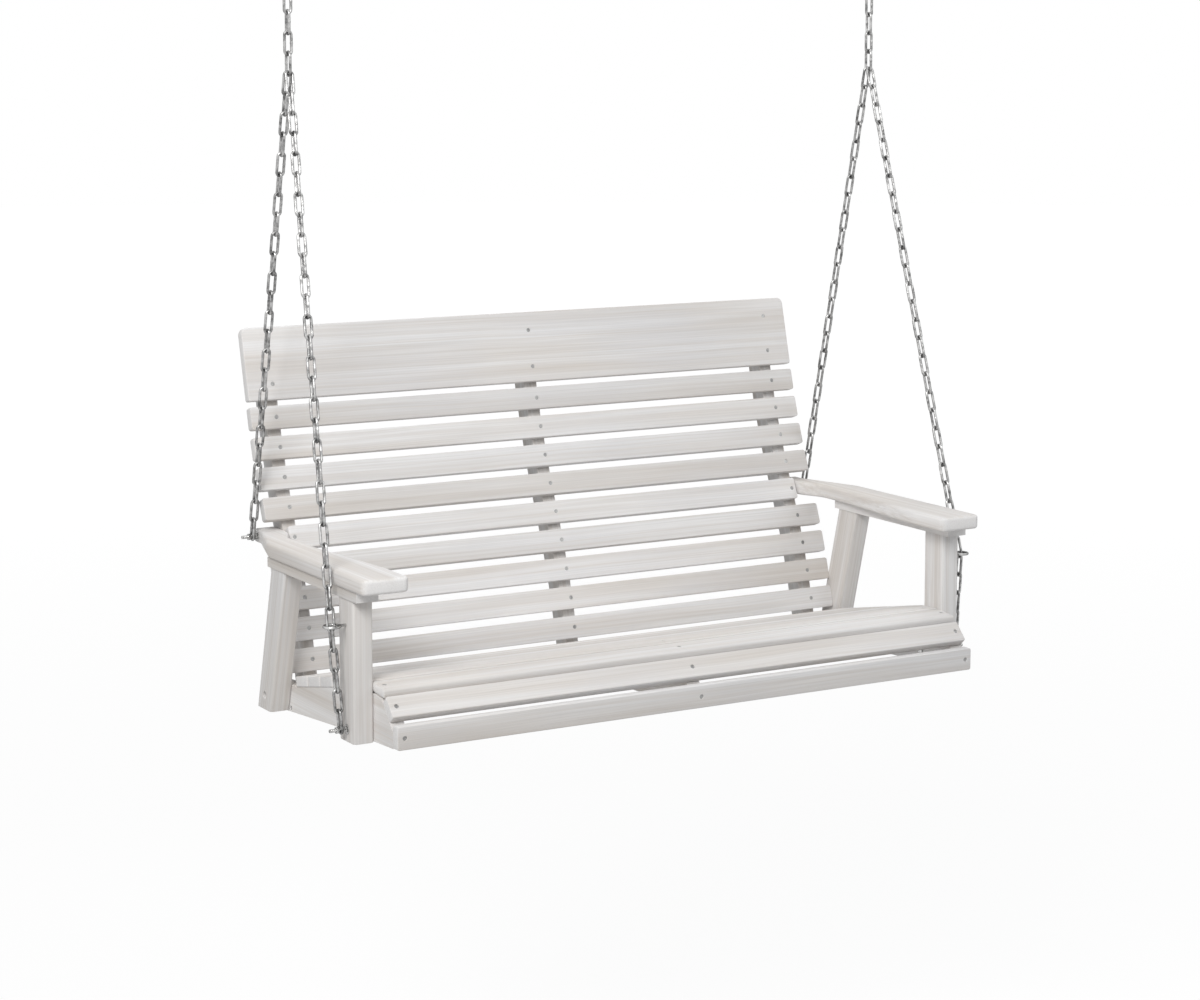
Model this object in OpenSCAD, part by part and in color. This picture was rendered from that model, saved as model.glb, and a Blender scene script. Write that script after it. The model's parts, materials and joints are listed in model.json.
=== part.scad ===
// Porch swing seat: slatted bench hung on two pairs of chain legs.
// Frame: origin midway between the two ceiling hooks, on the ceiling plane.
// X to the right of the seat, the front faces -Y, Z up. Millimetres.

/* [Boards] */
// Length of the slats, apron and crest rail
board_len = 1219.2; // [1000:1:1500]
// Thickness of the slats, apron and crest rail
board_t = 19; // [16:0.5:22]
// Thickness of rails, stiles and armrests
frame_t = 27; // [24:0.5:30]
// Rounding of the slat edges
board_round = 3; // [1:0.5:5]
// Rounding of the post edges
post_round = 5; // [2:0.5:9]

/* [Back] */
// Number of narrow back slats
back_slats = 9; // [9:1:9]
// Width of a back slat
back_slat_w = 43.5; // [36:0.5:46]
// Spacing of the back slats, centre to centre
back_pitch = 57.6; // [54:0.1:59]
// Height of the crest rail
crest_w = 139.7; // [110:1:160]
// Gap between crest rail and first slat
crest_gap = 11.2; // [6:0.2:18]
// Rounding of the upper corners of the crest rail
crest_corner = 12; // [4:1:25]
// Rounding of the lower corners of the crest rail
crest_foot_corner = 4; // [2:0.5:10]
// Corner rounding of the back slats
slat_corner = 5; // [2:0.5:10]
// Depth of a back stile, front to rear
stile_d = 40; // [34:1:50]
// Distance of the outer stiles from the middle, centre line
stile_x = 558; // [500:1:559]
// Lean of the back at the crest, degrees
lean_top = 14.4; // [10:0.2:16]
// Lean of the back at its hollow, degrees
lean_mid = 23.2; // [20:0.2:26]
// Lean of the back at its foot, degrees
lean_foot = 14.5; // [12:0.2:18]
// Radius of the upper bend of the back
upper_r = 1400; // [1200:10:1700]
// Radius of the lower bend of the back
lower_r = 1200; // [1000:10:1500]
// Straight length between the two bends
mid_len = 60; // [30:1:80]

/* [Seat] */
// Number of seat slats
seat_slats = 7; // [7:1:7]
// Width of a seat slat
seat_slat_w = 52; // [46:0.2:54]
// Gap between seat slats
seat_gap = 3; // [2:0.2:6]
// Slope of the seat, falling towards the back, degrees
seat_slope = 11.5; // [9:0.2:13]
// Straight part of the seat profile, from its rear edge
seat_straight = 255; // [220:1:280]
// Radius of the front curl of the seat
curl_r = 348; // [300:2:420]
// Width of the tilted front slat
roll_w = 42; // [38:0.5:48]
// Tilt of the front slat, degrees
roll_tilt = 47; // [42:0.5:50]
// Height of the front apron
apron_h = 42; // [36:1:50]
// Depth of the rails at the front end
rail_front_h = 42; // [40:1:56]
// Depth of the rails under the rear slat
rail_rear_h = 51; // [44:1:60]
// Overhang of the rails behind the rear slat
rail_tail = 89; // [80:1:100]
// Height of the rear stretcher
stretcher_h = 57; // [44:1:60]

/* [Arms] */
// Thickness of the posts, side to side
post_t = 38; // [32:0.5:42]
// Width of the posts, front to rear
post_w = 60; // [48:0.5:64]
// Drop from the chain junction to the armrest tops
arm_drop = 847; // [820:1:880]
// Clear height from the cleats down to the seat crown
arm_clear = 146.5; // [135:0.5:160]
// Thickness of the cleat under the armrest
cleat_t = 18; // [12:0.5:24]
// Width of the cleat
cleat_w = 42; // [38:1:44]
// Length of the cleat
cleat_len = 382; // [360:1:400]
// Width of the armrest at its front
arm_w = 90; // [80:1:100]
// Width of the armrest at its waist
arm_waist_w = 61; // [46:1:70]
// Width of the armrest tail beside the stile
arm_tail_w = 40; // [30:0.5:40]
// Overhang of the armrest in front of the front post
arm_nose = 56; // [40:1:70]
// Radius of the front corners of the armrest
arm_corner = 12; // [4:1:20]
// Lean of the rear posts, degrees
rear_post_lean = 14.9; // [12:0.1:17]

/* [Chain] */
// Wire of the chain links
link_wire = 5; // [4:0.1:5.6]
// Outside width of a link
link_w = 18; // [17.4:0.1:20]
// Nominal inside length of a link
link_pitch = 36.4; // [34:0.1:38]
// Outside width of the two junction links
junction_w = 22; // [21.5:0.1:26]
// Plain links between hook and junction link
upper_links = 4; // [4:1:4]
// Distance of the hooks from the middle
hook_x = 627; // [624:1:640]
// Distance of the rear chain ends from the middle
rear_chain_x = 622; // [621:0.5:640]
// Distance of the front chain ends from the middle
front_chain_x = 660; // [656:1:670]
// How far the hooks sit behind the seat datum
hang_y = 37; // [20:1:45]

/* [Hardware] */
// Wire of the ceiling hooks
hook_wire = 7; // [5:0.5:7]
// Radius of the hook bowl, centre line
hook_r = 14; // [12:0.5:18]
// Drop from the ceiling to the hook saddle
hook_drop = 65; // [60:1:90]
// Length of hook shank in the ceiling
hook_shank = 45; // [30:1:70]
// Diameter of the bolts
bolt_d = 6.4; // [5:0.1:7]
// Wire of the eye screws
eye_wire = 5; // [4:0.1:6]
// Inside diameter of the eye
eye_in = 23; // [22:0.5:28]
// Distance of the eyes from the middle
eye_x = 674; // [672:1:684]
// Diameter of the screw heads
screw_head = 7.6; // [6:0.1:9]
// Diameter of the screw shanks
screw_d = 4; // [3:0.1:5]

/* [Hidden] */
// clearances
gap = 0.3;           // chain links and bolts
seat_fit = 0.3;      // slat backs off curved bearers
hole_fit = 0.3;      // round holes, on the radius
end_fit = 0.05;      // stretcher in its housing
$fn = 64;
eps = 0.01;
reach = 1000;        // longer than any board, for cuts and bores

// ---- widths across the seat
half_w = board_len / 2;
rail_x = half_w - frame_t / 2;
post_x = half_w + post_t / 2;
post_out = half_w + post_t;
stile_out = stile_x + frame_t / 2;
bearers = [-1, 0, 1];

// ---- chain heights, from the ceiling plane
link_a = (link_w - link_wire) / 2;
junction_a = (junction_w - link_wire) / 2;
link_span = link_wire + gap;                  // wire to wire, beyond the pitch
first_top = -hook_drop + hook_wire / 2 + link_wire / 2 + gap;
function link_top(i) = first_top - i * link_pitch;
function link_bottom(i) = link_top(i) - link_pitch - link_span;
junction_z = link_bottom(upper_links);

// ---- armrest and post heights, from the junction
arm_top = -arm_drop;
arm_bottom = arm_top - frame_t;
cleat_bottom = arm_bottom - cleat_t;
crown_z = cleat_bottom - arm_clear;
front_post_y = -223.5;
front_bolt_y = -225;
cleat_lead = 18.5;                            // cleat in front of the front post
cleat_front = front_post_y - post_w / 2 - cleat_lead;

// ---- seat profile: s runs forward along the slat tops from the rear edge
seat_front_y = -328;
seat_pitch = seat_slat_w + seat_gap;
seat_rear_z = crown_z - seat_straight * sin(seat_slope) - curl_r * (1 - cos(seat_slope));
seat_rear_y = 82;
function seat_angle(s) = s < seat_straight ? seat_slope
    : seat_slope - (s - seat_straight) * 180 / (PI * curl_r);
curl_c = [seat_rear_y - seat_straight * cos(seat_slope) - curl_r * sin(seat_slope),
          seat_rear_z + seat_straight * sin(seat_slope) - curl_r * cos(seat_slope)];
function seat_pt(s) = s < seat_straight
    ? [seat_rear_y - s * cos(seat_slope), seat_rear_z + s * sin(seat_slope)]
    : curl_c + curl_r * [sin(seat_angle(s)), cos(seat_angle(s))];
function seat_s(k) = seat_slat_w / 2 + (k - 1) * seat_pitch;
seat_end = seat_s(seat_slats) + seat_slat_w / 2;
nose = seat_pt(seat_end);
roll_lead = 6.8;                              // front slat, ahead of and below the last seat slat
roll_fall = 9.8;
roll_top = nose - [roll_lead, roll_fall];
roll_dir = [-cos(roll_tilt), -sin(roll_tilt)];
roll_in = [sin(roll_tilt), -cos(roll_tilt)];
apron_gap = 13;
apron_top = roll_top[1] + roll_w * roll_dir[1] - apron_gap;
rail_front_bottom = apron_top - rail_front_h;
rail_rear_y = seat_rear_y + rail_tail;
rail_rear_top = seat_rear_z - board_t - rail_tail * sin(seat_slope) * 0.3;
rail_rear_bottom = rail_rear_top - rail_rear_h;

// ---- back profile: s runs down the slat fronts from the foot of the crest rail
back_y = 280.4;
back_rise = 236.5;                            // crest rail foot above the armrests
back_z = arm_top + back_rise;
function fwd(a) = [-cos(a), sin(a)];
function down(a) = [-sin(a), -cos(a)];
s_a = 10;
s_b = s_a + (lean_mid - lean_top) * upper_r * PI / 180;
s_c = s_b + mid_len;
s_d = s_c + (lean_mid - lean_foot) * lower_r * PI / 180;
p_a = [back_y, back_z] + s_a * down(lean_top);
c_up = p_a + upper_r * fwd(lean_top);
p_b = c_up - upper_r * fwd(lean_mid);
p_c = p_b + mid_len * down(lean_mid);
c_lo = p_c - lower_r * fwd(lean_mid);
p_d = c_lo + lower_r * fwd(lean_foot);
function back_angle(s) = s < s_a ? lean_top
    : s < s_b ? lean_top + (s - s_a) * 180 / (PI * upper_r)
    : s < s_c ? lean_mid
    : s < s_d ? lean_mid - (s - s_c) * 180 / (PI * lower_r) : lean_foot;
function back_pt(s) = s < s_a ? [back_y, back_z] + s * down(lean_top)
    : s < s_b ? c_up - upper_r * fwd(back_angle(s))
    : s < s_c ? p_b + (s - s_b) * down(lean_mid)
    : s < s_d ? c_lo + lower_r * fwd(back_angle(s))
    : p_d + (s - s_d) * down(lean_foot);
function slat_s(k) = crest_gap + back_slat_w / 2 + (k - 1) * back_pitch;
stile_short = 12;                             // stile tops below the crest edge
foot_rise = 2;                                // stile feet above the rail's lower edge
stile_top_s = -crest_w + stile_short;
stile_foot_z = rail_rear_bottom + foot_rise;
arm_slat = 5;                                 // the slat cut short for the arm tails
arm_slat_in = 3.5;                            // its ends inside the stile faces
crest_screws = [-0.215 * crest_w, -0.737 * crest_w];

// ---- rear stretcher, its rear face on the stile fronts
stretcher_s = s_d + (p_d[1] - stile_foot_z - stretcher_h / 2 * cos(lean_foot)) / cos(lean_foot);
stretcher_c = back_pt(stretcher_s)
    - (board_t + seat_fit - frame_t / 2 - end_fit) * fwd(lean_foot);

// ---- rear post and armrest plan
rear_post_top_y = 68.5;
post_foot_rise = 7;
rear_post_foot_z = rail_rear_bottom + post_foot_rise;
foot_bolt_rise = 27;
foot_bolt_back = 3.5;                         // behind the middle of the post
function rear_post_y(z) = rear_post_top_y + (cleat_bottom - z) * tan(rear_post_lean);
rear_bolt_z = rear_post_foot_z + foot_bolt_rise;
rear_bolt = [rear_post_y(rear_bolt_z) + foot_bolt_back, rear_bolt_z];
arm_over = 7.4;                               // armrest edge outside the posts
arm_out = post_out + arm_over;
arm_front = front_post_y - post_w / 2 - arm_nose;
arm_rear = 260;
arm_inner_front = arm_out - arm_w;
arm_inner_waist = arm_out - arm_waist_w;
waist = [-250, 100];                          // inner edge draws in
tail_in = [130, 203];                         // inner edge runs out to the stile
tail_edge = [95, 232];                        // outer edge runs straight in to the tail
function share(y, span) = min(1, max(0, (y - span[0]) / (span[1] - span[0])));
function ease(y, span) = let (u = share(y, span)) u * u * (3 - 2 * u);
function arm_in(y) = arm_inner_front + (arm_inner_waist - arm_inner_front) * ease(y, waist)
    + (stile_out - arm_inner_waist) * ease(y, tail_in);
function arm_edge(y) = arm_out + (stile_out + arm_tail_w - arm_out) * share(y, tail_edge);

// ---- chain ends
bolt_r = bolt_d / 2;
rear_bolt_y = 245;
front_bolt_drop = 229.7;                      // below the cleats
eye_drop = 46;
chain_rear = [rear_chain_x, rear_bolt_y, arm_bottom + frame_t / 2];
chain_front = [front_chain_x, front_bolt_y, cleat_bottom - front_bolt_drop];
eye_z = cleat_bottom - eye_drop;
eye_r = (eye_in + eye_wire) / 2;
// the chain leans on the rear side of the eye
eye_lean = sqrt(pow(eye_in / 2 - link_wire / 2 - 2 * gap, 2) - pow(link_a, 2));
eye_pt = [eye_x, front_bolt_y + eye_lean, eye_z];
// the two legs lie side by side in the bend of the junction link
pair_y = link_wire / 2 + gap;
pair_z = junction_a - sqrt(pow(junction_a - link_span, 2) - pow(pair_y, 2));
rear_start = [hook_x, hang_y + pair_y, pair_z];
front_start = [hook_x, hang_y - pair_y, pair_z];
// whole, even numbers of links, drawn out to close exactly
end_play = bolt_r - link_wire / 2;
rear_links = 2 * round((norm(chain_rear - rear_start) + end_play) / (2 * link_pitch));
rear_pitch = (norm(chain_rear - rear_start) + end_play) / rear_links;
eye_dist = norm(eye_pt - front_start);
eye_dir = (eye_pt - front_start) / eye_dist;
eye_links = ceil(eye_dist / link_pitch - 0.2);
front_links = 2 * round((eye_dist + norm(chain_front - eye_pt) + end_play) / (2 * link_pitch));
foot_links = front_links - eye_links;
function turn_pt(p) = front_start + (eye_links * p + link_span) * eye_dir;
function close_err(p) = norm(chain_front - turn_pt(p))
    - (foot_links * p - link_wire - gap - end_play);
function close(p, n) = n == 0 ? p : close(p + close_err(p) / (front_links - 1), n - 1);
front_pitch = close(link_pitch, 12);
turn = turn_pt(front_pitch);
foot_dir = (chain_front - turn) / norm(chain_front - turn);

wood = [0.85, 0.84, 0.82];
zinc = [0.66, 0.67, 0.69];
steel = [0.74, 0.75, 0.77];

// ---------------------------------------------------------------- helpers
module in_seat() translate([0, -hang_y, junction_z]) children();

module rounded(w, h, r) {
    translate([-w / 2 + r, -h / 2]) square([w - 2 * r, h]);
    translate([-w / 2, -h / 2 + r]) square([w, h - 2 * r]);
    for (x = [-1, 1], y = [-1, 1])
        translate([x * (w / 2 - r), y * (h / 2 - r)]) circle(r = r);
}

// extrudes a Y-Z outline along X, centred
module across(len, x = 0) translate([x - len / 2, 0, 0]) rotate([90, 0, 90]) linear_extrude(len) children();

screw_len = 44;
short_screw = 34;
long_screw = 58;
module screw(len = screw_len) {
    translate([0, 0, -screw_head / 4]) cylinder(d1 = screw_d, d2 = screw_head, h = screw_head / 4);
    translate([0, 0, -len]) cylinder(d = screw_d, h = len - screw_head / 4);
}

module screw_hole(len = screw_len) {
    translate([0, 0, -screw_head / 4 - hole_fit])
        cylinder(d1 = screw_d + 2 * hole_fit, d2 = screw_head + 2 * hole_fit, h = screw_head / 4 + hole_fit);
    cylinder(d = screw_head + 2 * hole_fit, h = 0.6);
    translate([0, 0, -len - 1]) cylinder(d = screw_d + 2 * hole_fit, h = len);
}

// a link hanging down from the centre of its top wire, its plane in X-Z
module link(pitch, a = link_a, wire = link_wire) {
    straight = pitch + gap + wire - 2 * a;
    translate([0, 0, -a]) {
        rotate([90, 0, 0]) rotate_extrude(angle = 180) translate([a, 0]) circle(d = wire);
        for (s = [-1, 1]) translate([s * a, 0, -straight]) cylinder(d = wire, h = straight);
        translate([0, 0, -straight]) rotate([-90, 0, 0]) rotate_extrude(angle = 180)
            translate([a, 0]) circle(d = wire);
    }
}

// turns -Z into the direction u
module aim(u) rotate([atan2(u[1], -u[2]), 0, 0]) rotate([0, -asin(u[0]), 0]) children();

module run(start, u, pitch, first, last) {
    for (k = [first:last])
        translate(start + (k - first) * pitch * u) aim(u) rotate([0, 0, k % 2 == 0 ? 90 : 0]) link(pitch);
}

module side(s) { if (s < 0) mirror([1, 0, 0]) children(); else children(); }

// ---------------------------------------------------------------- screws
module on_back(s, x) translate([x, back_pt(s)[0], back_pt(s)[1]])
    rotate([90 - back_angle(s), 0, 0]) children();
module on_seat(s, x) translate([x, seat_pt(s)[0], seat_pt(s)[1]])
    rotate([-seat_angle(s), 0, 0]) children();
roll_mid = roll_top + roll_dir * roll_w / 2;
apron_mid_z = apron_top - apron_h / 2;

module back_screw_set(hole = false) {
    for (b = bearers) {
        for (s = crest_screws) on_back(s, b * stile_x) { if (hole) screw_hole(); else screw(); }
        for (k = [1:back_slats]) on_back(slat_s(k), b * stile_x) { if (hole) screw_hole(); else screw(); }
    }
}
module seat_screw_set(hole = false) {
    for (b = bearers) {
        for (k = [1:seat_slats]) on_seat(seat_s(k), b * rail_x) { if (hole) screw_hole(); else screw(); }
        translate([b * rail_x, roll_mid[0], roll_mid[1]]) rotate([roll_tilt, 0, 0]) {
            if (hole) screw_hole(short_screw); else screw(short_screw); }
        translate([b * rail_x, seat_front_y - board_t, apron_mid_z]) rotate([90, 0, 0]) {
            if (hole) screw_hole(); else screw(); }
    }
}
cleat_screw = screw_len - 6;
rail_screw = screw_len - 1;
module frame_screw_set(hole = false) {
    for (s = [-1, 1]) side(s) {
        // armrest from below, through the cleat
        for (f = [0.32, 0.555, 0.738]) translate([post_x, cleat_front + f * cleat_len, cleat_bottom])
            rotate([180, 0, 0]) { if (hole) screw_hole(cleat_screw); else screw(cleat_screw); }
        // posts from above, under the armrest
        for (y = [front_post_y, rear_post_top_y], f = [-0.25, 0.25])
            translate([post_x, y + f * post_w, arm_bottom]) { if (hole) screw_hole(); else screw(); }
        // stretcher ends, through the rails
        for (z = [-0.28 * stretcher_h, 0.28 * stretcher_h])
            translate([half_w, stretcher_c[0] + z * sin(lean_foot), stretcher_c[1] + z])
                rotate([0, 90, 0]) { if (hole) screw_hole(rail_screw); else screw(rail_screw); }
    }
    // stiles from behind, into the stretcher
    for (b = bearers, z = [-0.26 * stretcher_h, 0.26 * stretcher_h])
        translate([b * stile_x, stretcher_c[0], stretcher_c[1]]) rotate([-90 - lean_foot, 0, 0])
            translate([0, -z, frame_t / 2 + end_fit + stile_d]) {
                if (hole) screw_hole(long_screw); else screw(long_screw); }
}

// ---------------------------------------------------------------- bolts
module x_bolt_hole(y, z) translate([0, y, z]) rotate([0, 90, 0])
    cylinder(r = bolt_r + hole_fit, h = reach);
hex_d = bolt_d * 2;
washer_t = 1.6;
nut_t = 5.5;
jam_t = 4;                                    // thin nuts behind the chain links
washer_d = 18;
small_washer_d = 16;
cb_d = 14;                                    // counterbore in the rear post
cb_depth = 9;
nut_gap = 1.5;                                // between link and nut
bolt_over = 12;                               // bolt end beyond its nut
nut_in = link_wire / 2 + nut_gap;
front_tip = front_chain_x + nut_in + nut_t + bolt_over;
rear_tip = rear_chain_x + nut_in + nut_t + bolt_over;

module hex_at(x, t) translate([x, 0, 0]) rotate([0, 90, 0]) cylinder(d = hex_d, h = t, $fn = 6);
module rod(x0, x1) translate([x0, 0, 0]) rotate([0, 90, 0]) cylinder(r = bolt_r, h = x1 - x0);
module ring(x, d, t, bore = bolt_r + hole_fit) translate([x, 0, 0]) rotate([0, 90, 0]) difference() {
    cylinder(d = d, h = t);
    translate([0, 0, -1]) cylinder(r = bore, h = t + 2);
}
module nut(x, t = nut_t) difference() {
    hex_at(x, t);
    translate([x - 1, 0, 0]) rotate([0, 90, 0]) cylinder(r = bolt_r + 0.1, h = t + 2);
}
module chain_bolt_holes() {
    x_bolt_hole(chain_rear[1], chain_rear[2]);
    x_bolt_hole(chain_front[1], chain_front[2]);
    x_bolt_hole(rear_bolt[0], rear_bolt[1]);
}

// ---------------------------------------------------------------- back
module back_board(s) on_back(s, 0) translate([0, 0, -board_t]) linear_extrude(board_t) children();

module crest_outline() {
    rise = crest_w / 2;
    foot = crest_foot_corner;
    translate([-half_w + crest_corner, -rise + foot]) square([board_len - 2 * crest_corner, crest_w - foot]);
    translate([-half_w + foot, -rise]) square([board_len - 2 * foot, crest_w - crest_corner]);
    translate([-half_w, -rise + foot]) square([board_len, crest_w - foot - crest_corner]);
    for (s = [-1, 1]) {
        translate([s * (half_w - crest_corner), rise - crest_corner]) circle(r = crest_corner);
        translate([s * (half_w - foot), -rise + foot]) circle(r = foot);
    }
}
module crest_rail() color(wood) in_seat() difference() {
    back_board(-crest_w / 2) crest_outline();
    back_screw_set(true);
}
function slat_len(k) = k == arm_slat ? 2 * (stile_out - arm_slat_in) : board_len;
module back_slat(k) color(wood) in_seat() difference() {
    back_board(slat_s(k)) rounded(slat_len(k), back_slat_w, slat_corner);
    for (b = bearers) on_back(slat_s(k), b * stile_x) screw_hole();
}
module back_slat_1() back_slat(1);
module back_slat_2() back_slat(2);
module back_slat_3() back_slat(3);
module back_slat_4() back_slat(4);
module back_slat_5() back_slat(5);
module back_slat_6() back_slat(6);
module back_slat_7() back_slat(7);
module back_slat_8() back_slat(8);
module back_slat_9() back_slat(9);

stile_f = board_t + seat_fit;
stile_b = stile_f + stile_d;
stile_foot_s = s_d + (p_d[1] - stile_foot_z) / cos(lean_foot) + stile_d;
stile_steps = 56;
function stile_s(i) = stile_top_s + (stile_foot_s - stile_top_s) * i / stile_steps;
module stile_outline() difference() {
    polygon(concat(
        [for (i = [0:stile_steps]) let (s = stile_s(i)) back_pt(s) - stile_f * fwd(back_angle(s))],
        [for (i = [stile_steps:-1:0]) let (s = stile_s(i)) back_pt(s) - stile_b * fwd(back_angle(s))]));
    translate([-reach, stile_foot_z - reach]) square([2 * reach, reach]);
}
module back_stile(x) color(wood) in_seat() difference() {
    across(frame_t, x) stile_outline();
    back_screw_set(true);
    frame_screw_set(true);
    side(x) if (x != 0) chain_bolt_holes();
}
module back_stile_left() back_stile(-stile_x);
module back_stile_center() back_stile(0);
module back_stile_right() back_stile(stile_x);

// ---------------------------------------------------------------- seat
// rail outline: straight under the flat slats, curved under the curl, chamfer under the front slat
rail_off = board_t + seat_fit;
chamfer_top = roll_top + board_t * roll_in;
chamfer_foot = chamfer_top + roll_dir * (seat_front_y - chamfer_top[0]) / roll_dir[0];
function under(s) = seat_pt(s) - rail_off * [sin(seat_angle(s)), cos(seat_angle(s))];
curl_steps = 16;
curl_s = seat_end - 12;                       // the curve stops behind the last slat's edge
rail_belly = [-80, 3.5];                      // the lower edge bends up a little here
rail_curl = [for (i = [0:curl_steps]) under(seat_straight + (curl_s - seat_straight) * i / curl_steps)];
module rail_outline(rear_y) difference() {
    polygon(concat(
        [[rail_rear_y, rail_rear_bottom], [rail_rear_y, rail_rear_top], under(0)], rail_curl,
        [chamfer_top, chamfer_foot, [seat_front_y, rail_front_bottom],
         [rail_belly[0], (rail_rear_bottom + rail_front_bottom) / 2 + rail_belly[1]]]));
    translate([rear_y, -2 * reach]) square([reach, 2 * reach]);
}
module seat_rail(x, rear_y = rail_rear_y) color(wood) in_seat() difference() {
    across(frame_t, x) rail_outline(rear_y);
    seat_screw_set(true);
    frame_screw_set(true);
    if (x != 0) side(x) chain_bolt_holes();
}
module at_stretcher() translate([0, stretcher_c[0], stretcher_c[1]]) rotate([-lean_foot, 0, 0]) children();
module seat_rail_left() seat_rail(-rail_x);
module seat_rail_right() seat_rail(rail_x);
module seat_rail_center() difference() {
    seat_rail(0, stretcher_c[0] + frame_t);
    in_seat() at_stretcher() translate([-frame_t, -frame_t / 2, -reach / 2])
        cube([2 * frame_t, reach, reach]);
}
module seat_back_rail() color(wood) in_seat() difference() {
    at_stretcher() cube([2 * (half_w - frame_t - end_fit), frame_t, stretcher_h], center = true);
    frame_screw_set(true);
}

module seat_slat(k) color(wood) in_seat() difference() {
    on_seat(seat_s(k), 0) across(board_len) translate([0, -board_t / 2])
        rounded(seat_slat_w, board_t, board_round);
    for (b = bearers) on_seat(seat_s(k), b * rail_x) screw_hole();
}
module seat_slat_1() seat_slat(1);
module seat_slat_2() seat_slat(2);
module seat_slat_3() seat_slat(3);
module seat_slat_4() seat_slat(4);
module seat_slat_5() seat_slat(5);
module seat_slat_6() seat_slat(6);
module seat_slat_7() seat_slat(7);

module front_roll_slat() color(wood) in_seat() difference() {
    translate([0, roll_mid[0], roll_mid[1]]) rotate([roll_tilt, 0, 0]) across(board_len)
        translate([0, -board_t / 2]) rounded(roll_w, board_t, board_round);
    seat_screw_set(true);
}
module front_apron() color(wood) in_seat() difference() {
    across(board_len) translate([seat_front_y - board_t / 2, apron_mid_z])
        rounded(board_t, apron_h, board_round);
    seat_screw_set(true);
}

// ---------------------------------------------------------------- arms
post_drop = 5.5;                              // front posts below the rails
front_foot_z = rail_front_bottom - post_drop;
module front_post(s) color(wood) in_seat() side(s) difference() {
    translate([post_x, front_post_y, front_foot_z])
        linear_extrude(cleat_bottom - front_foot_z) rounded(post_t, post_w, post_round);
    chain_bolt_holes();
    frame_screw_set(true);
    translate([0, front_bolt_y, eye_z]) rotate([0, 90, 0]) cylinder(d = eye_wire + 2 * hole_fit, h = reach);
}
module rear_post(s) color(wood) in_seat() side(s) difference() {
    intersection() {
        translate([post_x, rear_post_top_y, cleat_bottom]) rotate([rear_post_lean, 0, 0])
            translate([0, 0, -reach / 2]) linear_extrude(reach) rounded(post_t, post_w, post_round);
        translate([0, -reach / 2, rear_post_foot_z]) cube([reach, reach, cleat_bottom - rear_post_foot_z]);
    }
    chain_bolt_holes();
    translate([post_out - cb_depth, rear_bolt[0], rear_bolt[1]]) rotate([0, 90, 0])
        cylinder(d = cb_d, h = cb_depth + 1);
    frame_screw_set(true);
}
module arm_cleat(s) color(wood) in_seat() side(s) difference() {
    translate([post_x - cleat_w / 2, cleat_front, cleat_bottom]) cube([cleat_w, cleat_len, cleat_t]);
    frame_screw_set(true);
}
arm_steps = 40;
corner_steps = 8;
arm_block = arm_front + arm_corner;
function arm_y(i) = arm_block + (arm_rear - arm_block) * i / arm_steps;
function corner(x, a0, i) = [x + arm_corner * cos(a0 + 90 * i / corner_steps),
                             arm_block + arm_corner * sin(a0 + 90 * i / corner_steps)];
module arm_plan() polygon(concat(
    [for (i = [0:arm_steps]) [arm_edge(arm_y(i)), arm_y(i)]],
    [for (i = [arm_steps:-1:0]) [arm_in(arm_y(i)), arm_y(i)]],
    [for (i = [1:corner_steps]) corner(arm_inner_front + arm_corner, 180, i)],
    [for (i = [0:corner_steps - 1]) corner(arm_out - arm_corner, 270, i)]));
module armrest(s) color(wood) in_seat() side(s) difference() {
    translate([0, 0, arm_bottom]) linear_extrude(frame_t) arm_plan();
    chain_bolt_holes();
    frame_screw_set(true);
}
module front_post_left() front_post(-1);
module front_post_right() front_post(1);
module rear_post_left() rear_post(-1);
module rear_post_right() rear_post(1);
module arm_cleat_left() arm_cleat(-1);
module arm_cleat_right() arm_cleat(1);
module armrest_left() armrest(-1);
module armrest_right() armrest(1);

// ---------------------------------------------------------------- hooks and chain
hook_bend = 8;
bowl_z = -hook_drop + hook_r;
bend_z = bowl_z + hook_r + hook_bend;
module hook(s) color(steel) side(s) translate([hook_x, 0, 0]) {
    translate([hook_bend, 0, bend_z]) cylinder(d = hook_wire, h = hook_shank - bend_z);
    translate([0, 0, bend_z]) rotate([-90, 0, 0]) rotate_extrude(angle = 90)
        translate([hook_bend, 0]) circle(d = hook_wire);
    translate([0, 0, bowl_z]) rotate([90, 0, 0]) rotate([0, 0, 90]) rotate_extrude(angle = 270)
        translate([hook_r, 0]) circle(d = hook_wire);
}
module ceiling_hook_left() hook(-1);
module ceiling_hook_right() hook(1);
// links 0 to 3 below the hook; even ones stand fore and aft
module upper(s, list) color(zinc) side(s) for (i = list)
    translate([hook_x, 0, link_top(i)]) rotate([0, 0, i % 2 == 0 ? 90 : 0]) link(link_pitch);
module top_link_left() upper(-1, [0]);
module top_link_right() upper(1, [0]);
module upper_chain_left() upper(-1, [1, 2]);
module upper_chain_right() upper(1, [1, 2]);
module level_link_left() upper(-1, [3]);
module level_link_right() upper(1, [3]);
module junction_link(s) color(zinc) side(s)
    translate([hook_x, 0, link_top(upper_links)]) rotate([0, 0, 90]) link(link_pitch, junction_a);
module junction_link_left() junction_link(-1);
module junction_link_right() junction_link(1);
module rear_leg(s) color(zinc) in_seat() side(s)
    run(rear_start, (chain_rear - rear_start) / norm(chain_rear - rear_start), rear_pitch, 1, rear_links);
module front_leg(s) color(zinc) in_seat() side(s) {
    run(front_start, eye_dir, front_pitch, 1, eye_links);
    run(turn - link_span * foot_dir, foot_dir, front_pitch, eye_links + 1, front_links);
}
module rear_leg_chain_left() rear_leg(-1);
module rear_leg_chain_right() rear_leg(1);
module front_leg_chain_left() front_leg(-1);
module front_leg_chain_right() front_leg(1);

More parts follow.
